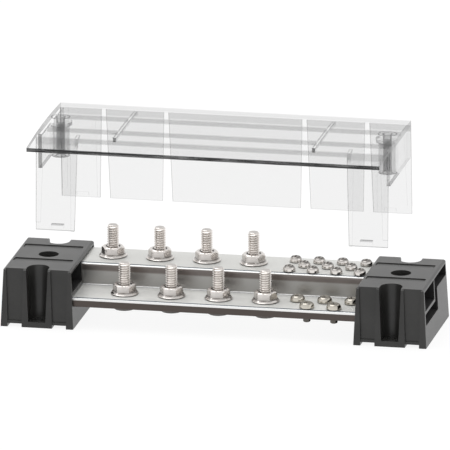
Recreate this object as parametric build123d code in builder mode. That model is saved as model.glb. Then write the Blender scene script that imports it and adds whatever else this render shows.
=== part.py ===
from build123d import *
from math import radians, tan
import os

os.makedirs("parts", exist_ok=True)

# Two-level power distribution bar, in millimetres
# +X runs along the bar, +Y to its back, +Z up. The origin is midway between the two end
# blocks, on the surface that they are screwed to. The clear cover is drawn lifted off.

# Conductor: one plate bent twice into a low front level and a high rear level
bar_thickness = 5.0
bar_depth = 55.6
bar_floor = 11.7
level_step = 12.0
riser_front = -1.4
bend_inside = 0.8
bend_outside = 2.0
edge_round = 0.6

# Studs and the flange nuts on them
stud_diameter = 6.35
stud_pitch = 25.4
stud_row_middle = -25.1
lower_stud_shift = 12.2
stud_rise = 17.3
stud_tip_chamfer = 0.8
stud_head_across = 11.1
stud_head_height = 4.0
stud_hole_play = 0.05
thread_depth = 0.75
upper_stud_row = 13.4
lower_stud_row = -15.0
nut_across = 11.1
nut_height = 5.5
nut_crown = 0.7
nut_flange_diameter = 14.8
nut_flange_thickness = 1.5
nut_flange_slope = 25.0
nut_play = 0.05
nut_countersink = 1.2
seat_gap = 0.1

# Terminal screws, close rows on the high level and wider rows on the low one
upper_screw_diameter = 3.5
upper_head_diameter = 6.6
upper_head_height = 2.5
upper_screw_pitch = 12.7
upper_screw_first = 34.4
upper_screw_spread = 8.8
upper_screw_centre = 11.4
upper_screw_end_gap = 0.3
lower_screw_diameter = 4.0
lower_head_diameter = 8.0
lower_head_height = 2.6
lower_screw_pitch = 14.6
lower_screw_first = 41.8
lower_screw_back = -11.5
lower_screw_front = -23.2
screw_play = 0.05
lower_screw_below_bar = 3.3
cross_length_share = 0.56
cross_width_share = 0.16
cross_depth_share = 0.5
head_crown_share = 0.55

# Moulded end blocks
block_spacing = 190.5
block_width = 39.4
block_depth = 62.6
block_height = 31.7
block_draft = 2.8
block_edge = 0.6
block_bevel = 0.9
top_plate = 1.9
pocket_play = 0.3
slot_height = 6.1
riser_slot_play = 0.5
retaining_wall = 1.7
web_thickness = 18.0
channel_width = 9.3
channel_floor = 3.0
channel_draft = 2.5
channel_inset = 5.4
mount_hole = 5.2
panel_width = 7.6
panel_offset = 12.0
panel_recess = 1.5
panel_draft = 1.8
panel_foot = 3.3
ledge_recess = 0.8
foot_gap = 1.7
centre_bore = 10.8
centre_bore_depth = 17.7
centre_hole = 5.5
field_length = 31.7
field_width = 6.0
field_depth = 0.5
field_shift = -0.5
field_corner = 1.0
field_back_edge = 17.3
field_front_edge = -8.5

# Clear cover
cover_length = 189.6
cover_depth = 85.5
cover_wall = 1.6
cover_plate = 2.2
cover_arch = 1.5
cover_droop = 1.0
cover_closed_top = 52.2
cover_lift = 54.6
cover_play = 0.3
cover_end_wall = 2.0
end_wall_gap = 3.7
leg_top_width = 22.2
leg_foot_width = 20.8
strip_proud = 0.4
outer_strip_top = 4.2
outer_strip_foot = 2.6
outer_strip_end = 4.2
inner_strip_top = 3.6
inner_strip_foot = 1.8
catch_width = 6.5
catch_height = 3.1
catch_reach = 0.8
gusset_thickness = 1.6
gusset_reach = 6.0
gusset_drop = 5.0
gap_top_width = 2.6
gap_foot_width = 5.5
gap_inner = 37.4
boss_diameter = 9.6
boss_bore = 4.6
boss_place = 88.2
boss_collar_diameter = 12.4
boss_collar_height = 1.2
cross_rib_place = 53.6
cross_rib_width = 1.6
long_rib_width = 1.4
rib_drop = 2.4
long_rib_places = (13.5, -12.6)

# Levels and places that follow from these sizes
lower_top = bar_floor + bar_thickness
upper_floor = bar_floor + level_step
upper_top = upper_floor + bar_thickness
bar_back = bar_depth / 2
bar_front = -bar_depth / 2
riser_back = riser_front + bar_thickness
web_half = web_thickness / 2
bar_length = block_spacing - web_thickness - 2 * pocket_play
channel_centre = block_depth / 2 - channel_inset
cover_end = cover_length / 2
cover_top = cover_closed_top + cover_lift
cover_ceiling = cover_top - cover_plate
cover_foot = cover_lift + cover_play
over_blocks = cover_foot + block_height
buried_top = cover_top - cover_plate / 4
draft_slope = tan(radians(block_draft))
cover_inner = block_depth / 2 + cover_play
wall_inner = cover_inner - (cover_ceiling - cover_foot) * draft_slope
plate_back = wall_inner + cover_wall + strip_proud
plate_front = plate_back - cover_depth
plate_middle = (plate_back + plate_front) / 2
rib_front = end_wall_gap - wall_inner
catch_place = block_spacing / 2 - panel_offset
catch_inner = cover_inner - catch_height * draft_slope

upper_studs = [(stud_row_middle + (i - 1.5) * stud_pitch, upper_stud_row) for i in range(4)]
lower_studs = [(x + lower_stud_shift, lower_stud_row) for x, row in upper_studs]
upper_screws = [
    (upper_screw_first + (i + shift) * upper_screw_pitch, upper_screw_centre + side * upper_screw_spread)
    for side, count, shift in ((1, 4, 0), (0, 3, 0.5), (-1, 4, 0))
    for i in range(count)
]
lower_screws = [
    (lower_screw_first + (i + shift) * lower_screw_pitch, row)
    for row, count, shift in ((lower_screw_back, 3, 0), (lower_screw_front, 2, 0.5))
    for i in range(count)
]


def at_level(level):
    return Plane.XY.offset(level)


def ceiling_at(y):
    share = (plate_back - y) / cover_depth
    return cover_ceiling - cover_droop * share + 4 * cover_arch * share * (1 - share)


# Bus bar: the stepped section drawn from its end, pushed along X, then pierced
with BuildPart() as bus_bar:
    with BuildSketch(Plane.YZ.offset(-bar_length / 2)) as section:
        with BuildLine():
            Polyline(
                (bar_front, bar_floor),
                (riser_back, bar_floor),
                (riser_back, upper_floor),
                (bar_back, upper_floor),
                (bar_back, upper_top),
                (riser_front, upper_top),
                (riser_front, lower_top),
                (bar_front, lower_top),
                close=True,
            )
        make_face()
        for y, z, radius in (
            (riser_back, upper_floor, bend_inside),
            (riser_front, lower_top, bend_inside),
            (riser_back, bar_floor, bend_outside),
            (riser_front, upper_top, bend_outside),
            (bar_back, upper_top, edge_round),
            (bar_back, upper_floor, edge_round),
            (bar_front, lower_top, edge_round),
            (bar_front, bar_floor, edge_round),
        ):
            fillet(section.vertices().sort_by_distance((y, z, 0))[0], radius)
    extrude(amount=bar_length)
    with BuildSketch(at_level(bar_floor)):
        with Locations(*upper_studs, *lower_studs):
            Circle(stud_diameter / 2 + stud_hole_play)
        with Locations(*lower_screws):
            Circle(lower_screw_diameter / 2 + screw_play)
    extrude(amount=level_step + bar_thickness, mode=Mode.SUBTRACT)
    with BuildSketch(at_level(upper_floor)):
        with Locations(*upper_screws):
            Circle(upper_screw_diameter / 2 + screw_play)
    extrude(amount=bar_thickness, mode=Mode.SUBTRACT)
bus_bar.part.label = "bus_bar"
export_step(bus_bar.part, "parts/bus_bar.step")

# Stud: a hexagon headed bolt pressed up through the bar, measured from the bar's top face. Its
# thread is drawn at the root inside the nut, and at the crest where it is bare
with BuildPart() as stud:
    with BuildSketch(at_level(-bar_thickness - stud_head_height)):
        RegularPolygon(radius=stud_head_across / 2, side_count=6, major_radius=False)
    extrude(amount=stud_head_height)
    with BuildSketch(at_level(-bar_thickness)):
        Circle(stud_diameter / 2)
    extrude(amount=bar_thickness)
    with BuildSketch():
        Circle(stud_diameter / 2 - thread_depth)
    extrude(amount=seat_gap + nut_height)
    with BuildSketch(at_level(seat_gap + nut_height)):
        Circle(stud_diameter / 2)
    extrude(amount=stud_rise - seat_gap - nut_height)
    tip = stud.edges().filter_by(GeomType.CIRCLE).sort_by(Axis.Z)[-1]
    chamfer(tip, length=stud_tip_chamfer)

# Flange nut: a bevelled hexagon on a sloping round flange, measured from its seat
with BuildPart() as flange_nut:
    with BuildSketch() as nut_outline:
        RegularPolygon(radius=nut_across / 2, side_count=6, major_radius=False)
    nut_corner = nut_outline.vertices().sort_by(Axis.X)[-1].X
    with BuildSketch():
        Circle(nut_corner)
    extrude(amount=nut_height)
    chamfer(flange_nut.edges().sort_by(Axis.Z)[-1], length=nut_crown, length2=2 * nut_crown)
    with BuildSketch():
        RegularPolygon(radius=nut_across / 2, side_count=6, major_radius=False)
    extrude(amount=nut_height, mode=Mode.INTERSECT)
    with BuildSketch():
        Circle(nut_flange_diameter / 2)
    extrude(amount=nut_flange_thickness, taper=nut_flange_slope)
    with BuildSketch():
        Circle(stud_diameter / 2 - thread_depth + nut_play)
    extrude(amount=nut_height, mode=Mode.SUBTRACT)
    nut_mouth = flange_nut.edges().filter_by(GeomType.CIRCLE).group_by(Axis.Z)[-1].sort_by(SortBy.RADIUS)[0]
    chamfer(nut_mouth, length=nut_countersink)

for row, studs, level in (("upper", upper_studs, upper_top), ("lower", lower_studs, lower_top)):
    for number, (x, y) in enumerate(studs, start=1):
        with BuildPart() as placed_stud:
            with Locations((x, y, level)):
                add(stud.part)
        placed_stud.part.label = f"{row}_stud_{number}"
        export_step(placed_stud.part, f"parts/{placed_stud.part.label}.step")
        with BuildPart() as placed_nut:
            with Locations((x, y, level + seat_gap)):
                add(flange_nut.part)
        placed_nut.part.label = f"{row}_nut_{number}"
        export_step(placed_nut.part, f"parts/{placed_nut.part.label}.step")


# Terminal screw: a domed head with a cross recess, measured from the underside of its head
def terminal_screw(diameter, head_diameter, head_height, shank_length):
    with BuildPart() as screw:
        with BuildSketch():
            Circle(head_diameter / 2)
        extrude(amount=head_height)
        fillet(screw.edges().sort_by(Axis.Z)[-1], radius=head_height * head_crown_share)
        with BuildSketch(at_level(head_height)):
            Rectangle(head_diameter * cross_length_share, head_diameter * cross_width_share)
            Rectangle(head_diameter * cross_width_share, head_diameter * cross_length_share)
        extrude(amount=-head_height * cross_depth_share, mode=Mode.SUBTRACT)
        with BuildSketch():
            Circle(diameter / 2)
        extrude(amount=-shank_length)
    return screw.part


upper_shank = seat_gap + bar_thickness - upper_screw_end_gap
lower_shank = seat_gap + bar_thickness + lower_screw_below_bar
upper_screw = terminal_screw(upper_screw_diameter, upper_head_diameter, upper_head_height, upper_shank)
lower_screw = terminal_screw(lower_screw_diameter, lower_head_diameter, lower_head_height, lower_shank)
for row, screw, places, level in (
    ("upper", upper_screw, upper_screws, upper_top),
    ("lower", lower_screw, lower_screws, lower_top),
):
    for number, (x, y) in enumerate(places, start=1):
        with BuildPart() as placed_screw:
            with Locations((x, y, level + seat_gap)):
                add(screw)
        placed_screw.part.label = f"{row}_screw_{number}"
        export_step(placed_screw.part, f"parts/{placed_screw.part.label}.step")

# End block: a drafted moulding with a stepped pocket in each end that the bar slides into
slot_top = bar_floor + slot_height
pocket_front = bar_front - pocket_play
pocket_back = bar_back + pocket_play
pocket_ceiling = block_height - top_plate
step_wall = riser_back + riser_slot_play
retainer_back = riser_front - riser_slot_play
retainer_front = retainer_back - retaining_wall
with BuildPart() as end_block:
    with BuildSketch():
        Rectangle(block_width, block_depth)
    extrude(amount=block_height, taper=block_draft)
    chamfer(end_block.faces().sort_by(Axis.Z)[-1].edges(), length=block_bevel)
    fillet(end_block.edges().filter_by(lambda e: e.bounding_box().size.Z > block_height / 2), block_edge)
    for side in (-1, 1):
        with BuildSketch(Plane.YZ.offset(side * web_half)):
            with BuildLine():
                Polyline(
                    (pocket_front, bar_floor),
                    (step_wall, bar_floor),
                    (step_wall, upper_floor - bend_inside),
                    (step_wall + bend_inside, upper_floor),
                    (pocket_back, upper_floor),
                    (pocket_back, pocket_ceiling),
                    (pocket_front, pocket_ceiling),
                    close=True,
                )
            make_face()
            with BuildLine():
                Polyline(
                    (pocket_front, slot_top),
                    (retainer_back, slot_top),
                    (retainer_back, pocket_ceiling),
                    (retainer_front, pocket_ceiling),
                    (retainer_front, slot_top + retaining_wall),
                    (pocket_front, slot_top + retaining_wall),
                    close=True,
                )
            make_face(mode=Mode.SUBTRACT)
        extrude(amount=side * block_width / 2, mode=Mode.SUBTRACT)
    with BuildSketch(at_level(panel_foot)):
        with GridLocations(2 * panel_offset, block_depth, 2, 2):
            Rectangle(panel_width, 2 * panel_recess)
    extrude(amount=block_height, taper=-panel_draft, mode=Mode.SUBTRACT)
    with BuildSketch(at_level(foot_gap)):
        with GridLocations(2 * panel_offset, block_depth, 2, 2):
            Rectangle(panel_width, 2 * ledge_recess)
    extrude(amount=panel_foot - foot_gap, mode=Mode.SUBTRACT)
    with BuildSketch(at_level(channel_floor)):
        with GridLocations(0, 2 * channel_centre, 1, 2):
            Circle(channel_width / 2)
        with GridLocations(0, 2 * (channel_centre + channel_inset), 1, 2):
            Rectangle(channel_width, 2 * channel_inset)
    extrude(amount=block_height, taper=-channel_draft, mode=Mode.SUBTRACT)
    with BuildSketch():
        with GridLocations(0, 2 * channel_centre, 1, 2):
            Circle(mount_hole / 2)
    extrude(amount=channel_floor, mode=Mode.SUBTRACT)
    with BuildSketch(Plane.XZ.offset(-block_depth / 2)):
        for side in (-1, 1):
            with Locations((side * panel_offset, foot_gap / 2)):
                Rectangle(panel_width, foot_gap)
    extrude(amount=block_depth, mode=Mode.SUBTRACT)
    with Locations((0, 0, block_height)):
        CounterBoreHole(centre_hole / 2, centre_bore / 2, centre_bore_depth)
    with BuildSketch(at_level(block_height)):
        for edge in (field_back_edge, field_front_edge):
            with Locations((field_shift, edge - field_width / 2)):
                RectangleRounded(field_length, field_width, field_corner)
    extrude(amount=-field_depth, mode=Mode.SUBTRACT)

for name, side in (("left_end_block", -1), ("right_end_block", 1)):
    with BuildPart() as placed_block:
        with Locations((side * block_spacing / 2, 0, 0)):
            add(end_block.part)
    placed_block.part.label = name
    export_step(placed_block.part, f"parts/{name}.step")

# Raised strips down both edges of the cover's four corner legs, which lean with the blocks
with BuildPart() as leg_strips:
    with BuildSketch(Plane.YZ.offset(-cover_end)):
        for side in (-1, 1):
            with BuildLine():
                Polyline(
                    (side * (cover_inner + cover_wall), cover_foot),
                    (side * (cover_inner + cover_wall + strip_proud), cover_foot),
                    (side * plate_back, cover_ceiling),
                    (side * plate_back, buried_top),
                    (side * (plate_back - strip_proud), buried_top),
                    (side * (plate_back - strip_proud), cover_ceiling),
                    close=True,
                )
            make_face()
    extrude(amount=cover_length)
    with BuildSketch(Plane.XZ):
        for side in (-1, 1):
            with BuildLine():
                Polyline(
                    (side * cover_end, cover_foot + outer_strip_end),
                    (side * cover_end, buried_top),
                    (side * (cover_end - outer_strip_top), buried_top),
                    (side * (cover_end - outer_strip_foot), cover_foot + outer_strip_end),
                    close=True,
                )
            make_face()
            with BuildLine():
                Polyline(
                    (side * (cover_end - leg_foot_width), cover_foot),
                    (side * (cover_end - leg_top_width), buried_top),
                    (side * (cover_end - leg_top_width + inner_strip_top), buried_top),
                    (side * (cover_end - leg_foot_width + inner_strip_foot), cover_foot),
                    close=True,
                )
            make_face()
    extrude(amount=cover_depth, both=True, mode=Mode.INTERSECT)

# Cover: a clear moulded hood with an arched top, a front lip, snap legs and a split back wall
outer_gap_foot = cover_end - leg_foot_width - gap_foot_width / 2
outer_gap_top = cover_end - leg_top_width - gap_top_width / 2
header_foot = ceiling_at(-plate_back) - rib_drop
with BuildPart() as cover:
    with BuildSketch(Plane.YZ.offset(-cover_end)):
        with BuildLine():
            ThreePointArc(
                (plate_back, cover_top),
                (plate_middle, ceiling_at(plate_middle) + cover_plate),
                (plate_front, cover_top - cover_droop),
            )
            Line((plate_front, cover_top - cover_droop), (plate_front, cover_ceiling - cover_droop))
            ThreePointArc(
                (plate_front, cover_ceiling - cover_droop),
                (plate_middle, ceiling_at(plate_middle)),
                (plate_back, cover_ceiling),
            )
            Line((plate_back, cover_ceiling), (plate_back, cover_top))
        make_face()
        for side in (-1, 1):
            with BuildLine():
                Polyline(
                    (side * cover_inner, cover_foot),
                    (side * (cover_inner + cover_wall), cover_foot),
                    (side * (plate_back - strip_proud), cover_ceiling),
                    (side * (plate_back - strip_proud), buried_top),
                    (side * wall_inner, buried_top),
                    (side * wall_inner, cover_ceiling),
                    close=True,
                )
            make_face()
    extrude(amount=cover_length)
    with BuildSketch(Plane.XZ):
        for foot_centre, top_centre in (
            (-outer_gap_foot, -outer_gap_top),
            (-gap_inner, -gap_inner),
            (gap_inner, gap_inner),
            (outer_gap_foot, outer_gap_top),
        ):
            with BuildLine():
                Polyline(
                    (foot_centre - gap_foot_width / 2, cover_foot),
                    (foot_centre + gap_foot_width / 2, cover_foot),
                    (top_centre + gap_top_width / 2, cover_ceiling),
                    (top_centre - gap_top_width / 2, cover_ceiling),
                    close=True,
                )
            make_face()
    extrude(amount=-cover_depth, mode=Mode.SUBTRACT)
    with BuildSketch(Plane.XZ):
        with BuildLine():
            Polyline(
                (-cover_end + leg_foot_width, cover_foot),
                (cover_end - leg_foot_width, cover_foot),
                (cover_end - leg_top_width, header_foot),
                (-cover_end + leg_top_width, header_foot),
                close=True,
            )
        make_face()
    extrude(amount=cover_depth, mode=Mode.SUBTRACT)
    add(leg_strips.part)
    with BuildSketch(at_level(over_blocks)):
        with Locations((0, (wall_inner + rib_front) / 2)):
            with GridLocations(cover_length - cover_end_wall, 0, 2, 1):
                Rectangle(cover_end_wall, wall_inner - rib_front)
        with GridLocations(2 * boss_place, 0, 2, 1):
            Circle(boss_diameter / 2)
    extrude(amount=buried_top - over_blocks)
    with BuildSketch(at_level(cover_ceiling - boss_collar_height)):
        with GridLocations(2 * boss_place, 0, 2, 1):
            Circle(boss_collar_diameter / 2)
    extrude(amount=buried_top - cover_ceiling + boss_collar_height)
    for side in (-1, 1):
        with BuildSketch(Plane.YZ.offset(side * (cover_end - leg_top_width))):
            with BuildLine():
                Polyline(
                    (-wall_inner, buried_top),
                    (gusset_reach - wall_inner, buried_top),
                    (gusset_reach - wall_inner, cover_ceiling),
                    (-wall_inner, cover_ceiling - gusset_drop),
                    close=True,
                )
            make_face()
        extrude(amount=side * gusset_thickness)
        with BuildSketch(Plane.YZ.offset(side * cross_rib_place)):
            with BuildLine():
                ThreePointArc(
                    (wall_inner, ceiling_at(wall_inner) - rib_drop),
                    (0, ceiling_at(0) - rib_drop),
                    (rib_front, ceiling_at(rib_front) - rib_drop),
                )
                Polyline(
                    (rib_front, ceiling_at(rib_front) - rib_drop),
                    (rib_front, buried_top),
                    (wall_inner, buried_top),
                    (wall_inner, ceiling_at(wall_inner) - rib_drop),
                )
            make_face()
        extrude(amount=cross_rib_width / 2, both=True)
    for place in long_rib_places:
        with BuildSketch(at_level(ceiling_at(place) - rib_drop)):
            with Locations((0, place)):
                Rectangle(cover_length - 2 * cover_end_wall, long_rib_width)
        extrude(amount=buried_top - ceiling_at(place) + rib_drop)
    for side in (-1, 1):
        for leg in (-1, 1):
            with BuildSketch(Plane.YZ.offset(side * catch_place)):
                with BuildLine():
                    Polyline(
                        (leg * cover_inner, cover_foot),
                        (leg * (cover_inner + cover_wall / 2), cover_foot),
                        (leg * (cover_inner + cover_wall / 2), cover_foot + catch_height),
                        (leg * (catch_inner - catch_reach), cover_foot + catch_height),
                        close=True,
                    )
                make_face()
            extrude(amount=catch_width / 2, both=True)
    with BuildSketch(at_level(over_blocks)):
        with GridLocations(2 * boss_place, 0, 2, 1):
            Circle(boss_bore / 2)
    extrude(amount=cover_top + cover_arch - over_blocks, mode=Mode.SUBTRACT)
cover.part.label = "cover"
export_step(cover.part, "parts/cover.step")
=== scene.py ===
import math

import bmesh
import bpy
from mathutils import Matrix, Vector


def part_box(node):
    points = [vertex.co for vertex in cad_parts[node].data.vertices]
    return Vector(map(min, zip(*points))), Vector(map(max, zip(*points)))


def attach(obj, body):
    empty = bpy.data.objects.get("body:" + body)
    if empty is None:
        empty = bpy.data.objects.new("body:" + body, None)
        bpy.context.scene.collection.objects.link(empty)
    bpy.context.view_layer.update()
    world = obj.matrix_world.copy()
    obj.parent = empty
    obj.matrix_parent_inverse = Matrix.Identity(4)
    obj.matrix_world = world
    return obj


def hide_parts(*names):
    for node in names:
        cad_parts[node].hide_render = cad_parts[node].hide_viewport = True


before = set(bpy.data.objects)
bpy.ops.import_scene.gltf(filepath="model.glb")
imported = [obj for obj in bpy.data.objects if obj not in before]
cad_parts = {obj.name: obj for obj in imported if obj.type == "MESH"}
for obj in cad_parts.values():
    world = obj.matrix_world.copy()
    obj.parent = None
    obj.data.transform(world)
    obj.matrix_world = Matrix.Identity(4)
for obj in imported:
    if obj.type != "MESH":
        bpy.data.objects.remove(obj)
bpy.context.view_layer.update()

# Camera: a long lens far off, a little to the right and above, so that the two levels of the
# bar and the lifted cover are all seen from the front.
camera_azimuth = math.radians(11.92)
camera_elevation = math.radians(16.30)
camera_roll = math.radians(-0.35)
camera_aim = Vector((0.0, 0.0, 0.030))
camera_offset = Vector((0.00023, 0.02201, 10.587))
camera_turn = (
    Matrix.Rotation(camera_azimuth, 3, "Z")
    @ Matrix.Rotation(math.pi / 2 - camera_elevation, 3, "X")
    @ Matrix.Rotation(camera_roll, 3, "Z")
)
camera_place = camera_aim + camera_turn @ camera_offset
camera_data = bpy.data.cameras.new("studio_camera")
camera_data.lens = 1600.0
camera_data.clip_end = 100.0
camera = bpy.data.objects.new("studio_camera", camera_data)
camera.matrix_world = Matrix.Translation(camera_place) @ camera_turn.to_4x4()
bpy.context.scene.collection.objects.link(camera)
bpy.context.scene.camera = camera
bpy.context.scene.view_settings.view_transform = "Standard"


# Studio: a floor in an even white room, with one broad lamp above and a weaker one from the
# right. The grey floor glows white for the camera, so that only a soft shadow is left on it.
class Wire:
    def __init__(self, finish, socket):
        self.finish = finish
        self.socket = socket

    def maths(self, operation, *values):
        return self.finish.node("ShaderNodeMath", {"operation": operation}, dict(enumerate(values)))

    def __add__(self, other):
        return self.maths("ADD", self, other)

    def __radd__(self, other):
        return self.maths("ADD", other, self)

    def __sub__(self, other):
        return self.maths("SUBTRACT", self, other)

    def __rsub__(self, other):
        return self.maths("SUBTRACT", other, self)

    def __mul__(self, other):
        return self.maths("MULTIPLY", self, other)

    def __rmul__(self, other):
        return self.maths("MULTIPLY", other, self)

    def __gt__(self, other):
        return self.maths("GREATER_THAN", self, other)

    def __lt__(self, other):
        return self.maths("LESS_THAN", self, other)

    def __abs__(self):
        return self.maths("ABSOLUTE", self)

    def most(self, other):
        return self.maths("MAXIMUM", self, other)

    def least(self, other):
        return self.maths("MINIMUM", self, other)

    def near(self, middle, reach):
        return abs(self - middle) < reach

    def between(self, low, high):
        return (self > low) * (self < high)

    def ramp(self, low, high):
        return self.finish.node(
            "ShaderNodeMapRange",
            {"interpolation_type": "SMOOTHSTEP"},
            {"Value": self, "From Min": low, "From Max": high},
        )


class Finish:
    def __init__(self, holder, end_kind="ShaderNodeOutputMaterial"):
        holder.use_nodes = True
        self.holder = holder
        self.tree = holder.node_tree
        self.tree.nodes.clear()
        self.end = self.tree.nodes.new(end_kind)

    def node(self, kind, settings=None, inputs=None, output=0):
        made = self.tree.nodes.new(kind)
        for key, value in (settings or {}).items():
            setattr(made, key, value)
        for key, value in (inputs or {}).items():
            if isinstance(value, Wire):
                self.tree.links.new(value.socket, made.inputs[key])
            else:
                made.inputs[key].default_value = value
        return Wire(self, made.outputs[output])

    def seen(self):
        rays = ("Is Camera Ray", "Is Glossy Ray", "Is Transmission Ray")
        camera_ray, glossy_ray, clear_ray = [self.node("ShaderNodeLightPath", output=ray) for ray in rays]
        return camera_ray.most(glossy_ray).most(clear_ray)

    def parts(self, vector):
        return [self.node("ShaderNodeSeparateXYZ", inputs={0: vector}, output=i) for i in range(3)]

    def place(self):
        return self.node("ShaderNodeTexCoord", output="Object")

    def facing(self):
        return self.node("ShaderNodeTexCoord", output="Normal")

    def stretched(self, vector, stretch):
        return self.node("ShaderNodeVectorMath", {"operation": "MULTIPLY"}, {0: vector, 1: stretch})

    def noise(self, vector, scale, detail=2.0):
        return self.node("ShaderNodeTexNoise", inputs={"Vector": vector, "Scale": scale, "Detail": detail})

    def blend(self, share, first, second):
        return self.node(
            "ShaderNodeMix", {"data_type": "RGBA"}, {"Factor": share, 6: first, 7: second}, output=2
        )

    def bump(self, height, strength, distance):
        return self.node(
            "ShaderNodeBump", inputs={"Height": height, "Strength": strength, "Distance": distance}
        )

    def finished(self, shader):
        self.tree.links.new(shader.socket, self.end.inputs["Surface"])
        return self.holder

    def surface(self, **sockets):
        named = {key.replace("_", " "): value for key, value in sockets.items()}
        return self.finished(self.node("ShaderNodeBsdfPrincipled", inputs=named))


white = (1.0, 1.0, 1.0, 1.0)
black = (0.0, 0.0, 0.0, 1.0)
floor_grey = (0.12, 0.12, 0.12, 1.0)
floor_glow = 0.89
floor_size = 8.0
floor_mesh = bpy.data.meshes.new("studio_floor")
floor_mesh.from_pydata(
    [(x * floor_size, y * floor_size, 0.0) for x, y in ((-1, -1), (1, -1), (1, 1), (-1, 1))],
    [],
    [(0, 1, 2, 3)],
)
floor = bpy.data.objects.new("studio_floor", floor_mesh)
bpy.context.scene.collection.objects.link(floor)
floor_finish = Finish(bpy.data.materials.new("studio_floor"))
floor_mesh.materials.append(
    floor_finish.surface(
        Base_Color=floor_grey,
        Roughness=0.9,
        Emission_Color=floor_finish.blend(floor_finish.seen(), black, white),
        Emission_Strength=floor_glow,
    )
)

room_level = 0.55
room = bpy.data.worlds.new("studio_room")
room_finish = Finish(room, "ShaderNodeOutputWorld")
room_strength = room_level + room_finish.seen() * (1.0 - room_level)
room_light = room_finish.node("ShaderNodeBackground", inputs={"Color": white, "Strength": room_strength})
room_finish.finished(room_light)
bpy.context.scene.world = room

for lamp_name, lamp_place, lamp_size, lamp_power in (
    ("top_lamp", (-0.5, 0.2, 1.8), 1.4, 16.0),
    ("right_lamp", (1.7, -0.2, 0.8), 1.2, 2.5),
):
    lamp_data = bpy.data.lights.new(lamp_name, "AREA")
    lamp_data.size = lamp_size
    lamp_data.energy = lamp_power
    lamp = bpy.data.objects.new(lamp_name, lamp_data)
    lamp.location = lamp_place
    lamp.rotation_euler = (Vector(lamp_place) - camera_aim).to_track_quat("Z", "Y").to_euler()
    bpy.context.scene.collection.objects.link(lamp)


# Bus bar: one copper plate with two bends, tin plated all over. The tin is matt and pale, and
# painted palest on the low level, as painted light against the riser's shade. The riser and the
# underside are painted dark as painted shade and reflection, with a darker painted reflection
# band below the top bend, and the sheared edges are darker and browner still. Each bend and top
# edge has a painted highlight with a thin painted dark line beside it.
def dress(node_names, material):
    for name in node_names:
        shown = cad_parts[name]
        shown.data.materials.clear()
        shown.data.materials.append(material)


tin_pale = (0.78, 0.78, 0.755, 1.0)
tin_low_painted_light = (0.95, 0.95, 0.92, 1.0)
tin_cloudy = (0.76, 0.76, 0.735, 1.0)
tin_painted_highlight = (0.88, 0.88, 0.87, 1.0)
tin_painted_line = (0.13, 0.15, 0.175, 1.0)
tin_reflected_band = (0.175, 0.155, 0.145, 1.0)
tin_riser_shaded = (0.375, 0.368, 0.357, 1.0)
tin_edge = (0.095, 0.080, 0.073, 1.0)
bar_thickness = 0.005
level_skin = 0.0004
sheared_skin = 0.0007
lip_highlight_reach = 0.0013
line_tilt = 0.885
line_spread = 0.085
shine_tilt = 0.66
shine_spread = 0.14
front_line_place = 0.0011
front_line_reach = 0.0006
band_start = 0.0036
band_end = 0.0048
matt_metal = 0.15
bar_low, bar_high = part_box("bus_bar")
low_level = bar_low.z + bar_thickness
bar_finish = Finish(bpy.data.materials.new("tinned_bar"))
bar_place = bar_finish.place()
bar_y, bar_z = bar_finish.parts(bar_place)[1:]
bar_up = bar_finish.parts(bar_finish.facing())[2]
# Upright faces and the underside are painted dark as painted shade and reflection.
bar_under = bar_up < -0.5
bar_over = 1.0 - bar_under
bar_sheared = (bar_y < bar_low.y + sheared_skin).most(bar_y > bar_high.y - sheared_skin)
# The top of each sheared edge and each bend carry a painted highlight.
bar_lip_highlight = bar_sheared * bar_z.near(low_level, lip_highlight_reach)
bar_wall = (1.0 - abs(bar_up).ramp(0.45, 0.70)) * (1.0 - bar_lip_highlight)
bar_shaded = bar_wall.most(bar_under)
# Thin painted dark lines run beside the highlights and along the front of the low level.
front_painted_line = bar_y.near(bar_low.y + front_line_place, front_line_reach) * (bar_up > 0.9)
bar_painted_line = (abs(bar_up).near(line_tilt, line_spread) * bar_over).most(front_painted_line)
bar_painted_highlight = abs(bar_up).near(shine_tilt, shine_spread).most(bar_lip_highlight) * bar_over
# A darker band below the top bend is a painted reflection.
bar_reflected_band = bar_z.ramp(bar_high.z - band_end, bar_high.z - band_start)
brushing = bar_finish.noise(bar_finish.stretched(bar_place, (20.0, 900.0, 900.0)), 1.0)
bar_cloud = bar_finish.noise(bar_place, 45.0, 3.0)
# The low level is painted lighter, as painted light against the riser's shade.
level_tone = bar_finish.blend(bar_z < low_level + level_skin, tin_pale, tin_low_painted_light)
level_tone = bar_finish.blend(bar_cloud.ramp(0.35, 0.75), level_tone, tin_cloudy)
painted_dark_tone = bar_finish.blend(bar_reflected_band, tin_riser_shaded, tin_reflected_band)
painted_dark_tone = bar_finish.blend(bar_sheared, painted_dark_tone, tin_edge)
bend_painted_tone = bar_finish.blend(bar_painted_line, tin_painted_highlight, tin_painted_line)
flat_tone = bar_finish.blend(bar_shaded, level_tone, painted_dark_tone)
dress(
    ["bus_bar"],
    bar_finish.surface(
        Base_Color=bar_finish.blend(bar_painted_line.most(bar_painted_highlight), flat_tone, bend_painted_tone),
        Metallic=matt_metal + bar_shaded.most(bar_painted_highlight) * (1.0 - matt_metal),
        Roughness=0.42 + brushing * 0.10 - bar_wall * 0.12,
        Normal=bar_finish.bump(brushing, 0.05, 0.0002),
    ),
)


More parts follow.
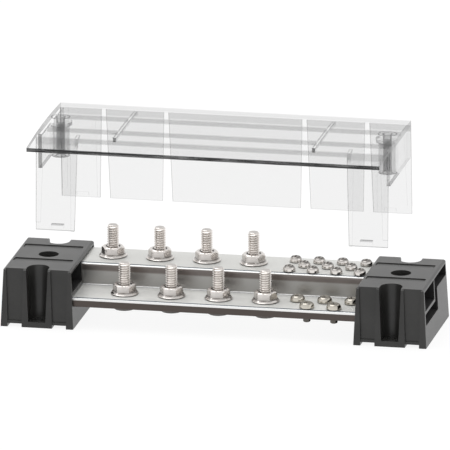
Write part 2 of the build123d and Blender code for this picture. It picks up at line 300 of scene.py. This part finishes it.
# Studs: stainless bolts with a rolled thread and a flat bevelled tip, pressed up through the
# bar so that only the hexagon head shows below it.
def turned(name, rings, columns, closed_loop=False):
    mesh = bmesh.new()
    shade = mesh.verts.layers.float.new("shade")
    loops = []
    for ring in rings:
        loop = []
        for column in range(columns):
            angle = 2 * math.pi * column / columns
            radius, height, dark = ring(angle)
            corner = mesh.verts.new((radius * math.cos(angle), radius * math.sin(angle), height))
            corner[shade] = dark
            loop.append(corner)
        loops.append(loop)
    pairs = list(zip(loops, loops[1:]))
    if closed_loop:
        pairs.append((loops[-1], loops[0]))
    for low, high in pairs:
        for column in range(columns):
            after = (column + 1) % columns
            mesh.faces.new((low[column], low[after], high[after], high[column]))
    if not closed_loop:
        mesh.faces.new(list(reversed(loops[0])))
        mesh.faces.new(loops[-1])
    bmesh.ops.recalc_face_normals(mesh, faces=mesh.faces)
    data = bpy.data.meshes.new(name)
    mesh.to_mesh(data)
    mesh.free()
    data.polygons.foreach_set("use_smooth", [True] * len(data.polygons))
    data.set_sharp_from_angle(angle=math.radians(35))
    return data


def clamped(value):
    return min(1.0, max(0.0, value))


def plain(radius, height, dark=0.0):
    return lambda angle: (radius, height, dark)


def hexagonal(across, limit, height, dark=0.0):
    def point(angle):
        sector = angle % (math.pi / 3) - math.pi / 6
        return min(across / 2 / math.cos(sector), limit), height, dark

    return point


def stainless(name, roughness, pale, deep):
    steel_shade_black = (0.035, 0.031, 0.028, 1.0)
    finish = Finish(bpy.data.materials.new(name))
    place = finish.place()
    mottle = finish.noise(place, 900.0, 3.0)
    broad = finish.noise(place, 160.0, 2.0)
    # The shade attribute blends each mesh towards black as painted shade, and on the screw domes as
    # painted reflection.
    shade = finish.node("ShaderNodeAttribute", {"attribute_name": "shade"}, output="Fac")
    return finish.surface(
        Base_Color=finish.blend(shade, finish.blend(broad.ramp(0.35, 0.65), pale, deep), steel_shade_black),
        Metallic=1.0,
        Roughness=roughness + mottle * 0.12,
        Normal=finish.bump(mottle, 0.015, 0.0001),
    )


def stand_in(name, mesh, node_name, body):
    low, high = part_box(node_name)
    piece = bpy.data.objects.new(name, mesh)
    piece.location = ((low.x + high.x) / 2, (low.y + high.y) / 2, low.z)
    bpy.context.scene.collection.objects.link(piece)
    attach(piece, body)
    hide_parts(node_name)


stud_radius = 0.003175
thread_pitch = 0.00127
thread_depth = 0.00075
thread_steps = 10
groove_width = 1.25
flank_slope = 1.35
groove_shade = 0.20
tip_bevel = 0.0008
tip_rounding = 0.00005
tip_shade = 0.4
head_top = 0.004
head_depth = 0.003
head_bevel = 0.0006
head_lip = 0.00001
head_shade = 0.9
neck_shade = 0.6
stud_names = [f"{row}_stud_{number}" for row in ("upper", "lower") for number in range(1, 5)]
stud_low, stud_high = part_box(stud_names[0])
head_across = stud_high.y - stud_low.y
stud_length = stud_high.z - stud_low.z
bare_start = bar_high.z - stud_low.z


def thread(height):
    def point(angle):
        phase = (height / thread_pitch - angle / (2 * math.pi)) % 1.0
        groove = clamped(groove_width * (1.0 - abs(2.0 * phase - 1.0) * flank_slope))
        bevel_radius = stud_radius - tip_bevel + stud_length - height
        return min(stud_radius - thread_depth * groove, bevel_radius), height, groove_shade * groove

    return point


stud_rings = [
    hexagonal(head_across, head_across / 2, head_top - head_depth, head_shade),
    hexagonal(head_across, 1.0, head_top - head_depth + head_bevel / 2, head_shade),
    hexagonal(head_across, 1.0, head_top - head_lip, head_shade),
    plain(stud_radius, head_top, neck_shade),
    plain(stud_radius - thread_depth, bare_start - thread_depth, head_shade),
]
thread_rows = round((stud_length - bare_start) / thread_pitch * thread_steps)
for row in range(thread_rows + 1):
    stud_rings.append(thread(bare_start + (stud_length - bare_start) * row / thread_rows))
stud_rings.append(plain(stud_radius - tip_bevel - tip_rounding, stud_length, tip_shade))
stud_mesh = turned("threaded_stud", stud_rings, 48)
stud_mesh.materials.append(
    stainless("steel_stud", 0.24, (0.93, 0.885, 0.85, 1.0), (0.80, 0.76, 0.725, 1.0))
)
for stud_name in stud_names:
    stand_in(f"{stud_name}_threaded", stud_mesh, stud_name, "base")


# Flange nuts: cold formed stainless, a bevelled hexagon on a round flange whose top slopes
# down to a thin rounded rim, with a countersunk bore. The bore, the underside and lower edge of
# the flange and the foot of the hexagon are painted dark as painted shade.
nut_low, nut_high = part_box("upper_nut_1")
flange_radius = (nut_high.x - nut_low.x) / 2
nut_height = nut_high.z - nut_low.z
nut_across = 0.0111
bore_radius = 0.0026
countersink = 0.0014
rim_top = 0.0008
slope_top = 0.00145
hexagon_foot = 0.0017
hexagon_start = 0.0019
hexagon_corner = nut_across / 2 / math.cos(math.pi / 6)
# Each ring gives radius, height and painted shade.
nut_rings = [
    plain(bore_radius, 0.0, 1.0),
    plain(flange_radius - 0.0004, 0.0, 1.0),
    plain(flange_radius, 0.0003, 0.7),
    plain(flange_radius - 0.00005, 0.0006, 0.1),
    plain(flange_radius - 0.0003, rim_top, 0.0),
    plain(hexagon_corner + 0.0003, slope_top, 0.45),
    hexagonal(nut_across + 0.0002, hexagon_corner, hexagon_foot, 0.75),
    hexagonal(nut_across, hexagon_corner - 0.0001, hexagon_start, 0.35),
    hexagonal(nut_across, hexagon_corner - 0.0001, nut_height - 0.0010, 0.15),
    hexagonal(nut_across, hexagon_corner - 0.0003, nut_height - 0.00065, 0.0),
    hexagonal(nut_across, hexagon_corner - 0.0007, nut_height - 0.0003, 0.0),
    plain(nut_across / 2 - 0.0002, nut_height - 0.00004, 0.0),
    plain(nut_across / 2 - 0.0004, nut_height, 0.05),
    plain(bore_radius + countersink, nut_height, 0.3),
    plain(bore_radius + countersink * 0.85, nut_height - countersink * 0.15, 0.95),
    plain(bore_radius, nut_height - countersink, 1.0),
]
nut_mesh = turned("flange_nut", nut_rings, 84, closed_loop=True)
nut_mesh.materials.append(
    stainless("steel_nut", 0.16, (0.80, 0.76, 0.73, 1.0), (0.69, 0.655, 0.625, 1.0))
)
for row in ("upper", "lower"):
    for number in range(1, 5):
        nut_name = f"{row}_nut_{number}"
        stand_in(f"{nut_name}_formed", nut_mesh, nut_name, nut_name)


# Terminal screws: stainless domed heads with a cross recess, small and close together on the
# high level and larger on the low one, where the tips come out below the bar. A dark ring on each
# dome is a painted reflection, and the recess, the head's underside and the shank get painted shade.
# The low screws take a darker copy of the same steel, as painted shade.
bright_screw = stainless("bright_screw", 0.12, (0.80, 0.765, 0.73, 1.0), (0.44, 0.42, 0.40, 1.0))
shaded_screw = stainless("shaded_screw", 0.15, (0.62, 0.585, 0.52, 1.0), (0.46, 0.435, 0.385, 1.0))
head_seat = 0.0001
rim_height = 0.0008
crown = 0.0009
dome_fullness = 2.8
shank_shade = 0.85


def terminal_screw(name, steel, head_radius, head_height, shank_radius, shank_length, tip_start, reflection_ring):
    arm_length = head_radius * 0.60
    arm_width = head_radius * 0.16
    recess_depth = head_height * 0.45
    reflection_ring_place, reflection_ring_width, reflection_ring_depth = reflection_ring

    def dome(share):
        def point(angle):
            radius = head_radius * share
            roundness = math.sqrt(max(0.0, 1.0 - share ** dome_fullness))
            height = rim_height + (head_height - rim_height) * roundness
            across = abs(radius * math.cos(angle))
            along = abs(radius * math.sin(angle))
            if across > along:
                across, along = along, across
            side = clamped((arm_width * 1.5 - across) / (arm_width * 0.8))
            end = clamped((arm_length - along) / (arm_length * 0.25))
            recess = side * end
            # A painted reflection ring, darkest at its place on the dome.
            ring = reflection_ring_depth * max(0.0, 1.0 - abs(share - reflection_ring_place) / reflection_ring_width)
            return radius, shank_length + height - recess_depth * recess, max(recess, ring)

        return point

    rings = [
        plain(shank_radius * 0.8, tip_start, shank_shade),
        plain(shank_radius, tip_start + shank_radius * 0.2, shank_shade),
        plain(shank_radius, shank_length, shank_shade),
        plain(head_radius * 0.93, shank_length, 0.8),
        plain(head_radius, shank_length + rim_height * 0.4, 0.5),
    ]
    rings += [dome(share) for share in (1.0, 0.985, 0.95, 0.9, 0.84, 0.78)]
    rings += [dome(share / 20) for share in range(14, 0, -1)]
    rings.append(dome(0.01))
    mesh = turned(name, rings, 96)
    mesh.materials.append(steel)
    return mesh


for row, count, steel, bar_top, shank_radius, tip_start, reflection_ring in (
    ("upper", 11, bright_screw, bar_high.z, 0.00175, 0.0, (0.62, 0.38, 0.95)),
    ("lower", 5, shaded_screw, low_level, 0.0020, 0.0008, (0.50, 0.44, 0.70)),
):
    screw_low, screw_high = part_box(f"{row}_screw_1")
    screw_head_radius = (screw_high.x - screw_low.x) / 2
    screw_head_height = screw_high.z - bar_top - head_seat
    screw_mesh = terminal_screw(
        f"{row}_terminal_screw",
        steel,
        screw_head_radius,
        screw_head_height + crown,
        shank_radius,
        screw_high.z - screw_low.z - screw_head_height,
        tip_start,
        reflection_ring,
    )
    for number in range(1, count + 1):
        screw_name = f"{row}_screw_{number}"
        stand_in(f"{screw_name}_formed", screw_mesh, screw_name, screw_name)


# End blocks: moulded in dark grey glass filled plastic with a fine spark-eroded texture. The
# pockets are painted blacker as painted shade inside them, and are rougher than the outside.
moulding = (0.036, 0.0355, 0.034, 1.0)
moulding_worn = (0.052, 0.051, 0.049, 1.0)
moulding_pocket_shade = (0.010, 0.010, 0.010, 1.0)
web_half = 0.0088
mouth_half = 0.0182
pocket_gap = 0.0004
pocket_floor = 0.0001
pocket_roof = 0.0012
block_low, block_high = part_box("right_end_block")
block_finish = Finish(bpy.data.materials.new("dark_moulding"))
block_place = block_finish.place()
block_x, block_y, block_z = block_finish.parts(block_place)
from_middle = abs(abs(block_x) - (block_low.x + block_high.x) / 2)
in_height = block_z.between(bar_low.z - pocket_floor, block_high.z - pocket_roof)
in_depth = abs(block_y) < bar_high.y + pocket_gap
# The pocket mask paints shade inside the pockets.
shaded_pocket = in_height * in_depth * from_middle.between(web_half, mouth_half)
grain = block_finish.noise(block_place, 5200.0, 2.0)
flow = block_finish.noise(block_place, 60.0, 3.0)
block_tone = block_finish.blend(flow.ramp(0.35, 0.7), moulding, moulding_worn)
dress(
    ["left_end_block", "right_end_block"],
    block_finish.surface(
        Base_Color=block_finish.blend(shaded_pocket, block_tone, moulding_pocket_shade),
        Roughness=0.29 + grain * 0.12 + shaded_pocket * 0.4,
        Normal=block_finish.bump(grain, 0.12, 0.00015),
    ),
)


# Cover: clear moulded polycarbonate. Each broad wall adds only a faint grey veil. The cut edges,
# ribs, lip, boss rims and a few edge lines are painted grey and near black, as painted reflection
# of light bent in the clear plastic, darker on the left end wall edge and the front feet.
wall_veil = 0.07
rib_veil = 0.10
bore_veil = 0.16
edge_veil = 0.50
dark_veil = 0.75
lip_veil = 1.0
veil_grey = (0.05, 0.052, 0.055, 1.0)
painted_line_grey = (0.012, 0.013, 0.014, 1.0)
line_reach = 0.0004
plate_depth = 0.0036
plate_skin = 0.0015
rib_depth = 0.0068
lip_depth = 0.0022
foot_start = 0.0120
leg_start = 0.0286
end_wall_front = -0.0254
end_wall_depth = 0.0022
cross_rib_place = 0.0536
cross_rib_half = 0.0010
catch_place = 0.08325
catch_half = 0.0034
catch_height = 0.0031
boss_place = 0.0882
boss_reach = 0.0065
boss_rim_radii = (0.0044, 0.0052)
bore_rim_radii = (0.0023, 0.0029)
boss_bore_radius = 0.0024
edge_skin = 0.0003
lip_skin = 0.0002
bpy.context.scene.cycles.transparent_max_bounces = 64
cover_low, cover_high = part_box("cover")
cover_finish = Finish(bpy.data.materials.new("clear_cover"))
cover_place = cover_finish.place()
cover_x, cover_y, cover_z = cover_finish.parts(cover_place)
face_x, face_y, face_z = [abs(part) for part in cover_finish.parts(cover_finish.facing())]
from_centre = abs(cover_x)
endwise = face_x.ramp(0.6, 0.9)
frontwise = face_y.ramp(0.6, 0.9)
upwise = face_z.ramp(0.7, 0.95)
below_plate = cover_z < cover_high.z - plate_depth
leg_sides = (abs(cover_y) > leg_start) * below_plate * endwise
plate_ends = (cover_z > cover_high.z - plate_depth) * endwise
leg_feet = upwise * (cover_z < cover_high.z - foot_start) * (0.4 + (cover_y < 0.0) * 0.6)
painted_edge_lines = leg_sides.most(plate_ends).most(leg_feet)
rib_faces = cover_z.between(cover_high.z - rib_depth, cover_high.z - plate_skin) * frontwise

# Painted dark lines: the end walls' front edges, cross rib ends, catches, the rear left edge and boss
# rims.
wall_front = cover_y.near(end_wall_front, line_reach)
end_wall_edge = wall_front * (from_centre > cover_high.x - end_wall_depth)
end_wall_edge = end_wall_edge * (0.40 + (cover_x < 0.0) * 0.40)
cross_rib_end = wall_front * from_centre.near(cross_rib_place, cross_rib_half)
catch_line = cover_z.near(cover_low.z + catch_height, line_reach) * (cover_y < 0.0)
catch_line = catch_line * from_centre.near(catch_place, catch_half)
rear_left_edge = (cover_x < cover_low.x + edge_skin) * (cover_y > leg_start) * below_plate * endwise
painted_dark_lines = (end_wall_edge + cross_rib_end + catch_line * 0.5).least(1.0) * frontwise.most(face_z)
painted_dark_lines = painted_dark_lines.most(rear_left_edge)

boss_wall = from_centre.near(boss_place, boss_reach) * (abs(cover_y) < boss_reach) * below_plate
boss_x = from_centre - boss_place
boss_span = boss_x * boss_x + cover_y * cover_y
boss_rim = boss_span.between(*[radius ** 2 for radius in boss_rim_radii])
bore_rim = boss_span.between(*[radius ** 2 for radius in bore_rim_radii])
boss_bore = (boss_span < boss_bore_radius ** 2) * below_plate * (1.0 - face_z)
painted_dark_lines = painted_dark_lines.most(boss_rim.most(bore_rim) * upwise)

clouding = cover_finish.noise(cover_place, 1500.0, 3.0)
streak = cover_finish.noise(cover_finish.stretched(cover_place, (55.0, 1.0, 900.0)), 1.0).ramp(0.40, 0.62)
lip = (cover_y < cover_low.y + lip_skin) * (cover_z < cover_high.z - lip_depth) * frontwise
cover_alpha = (
    (wall_veil + clouding * 0.03 + (rib_faces + boss_wall) * rib_veil + boss_bore * bore_veil)
    .most(painted_edge_lines * edge_veil)
    .most(painted_dark_lines * dark_veil)
    .most(lip * (lip_veil - streak * 0.15))
)
dress(
    ["cover"],
    cover_finish.surface(
        Base_Color=cover_finish.blend(painted_edge_lines.most(painted_dark_lines).most(lip), veil_grey, painted_line_grey),
        Alpha=cover_alpha,
        Roughness=0.06,
        IOR=1.49,
    ),
)
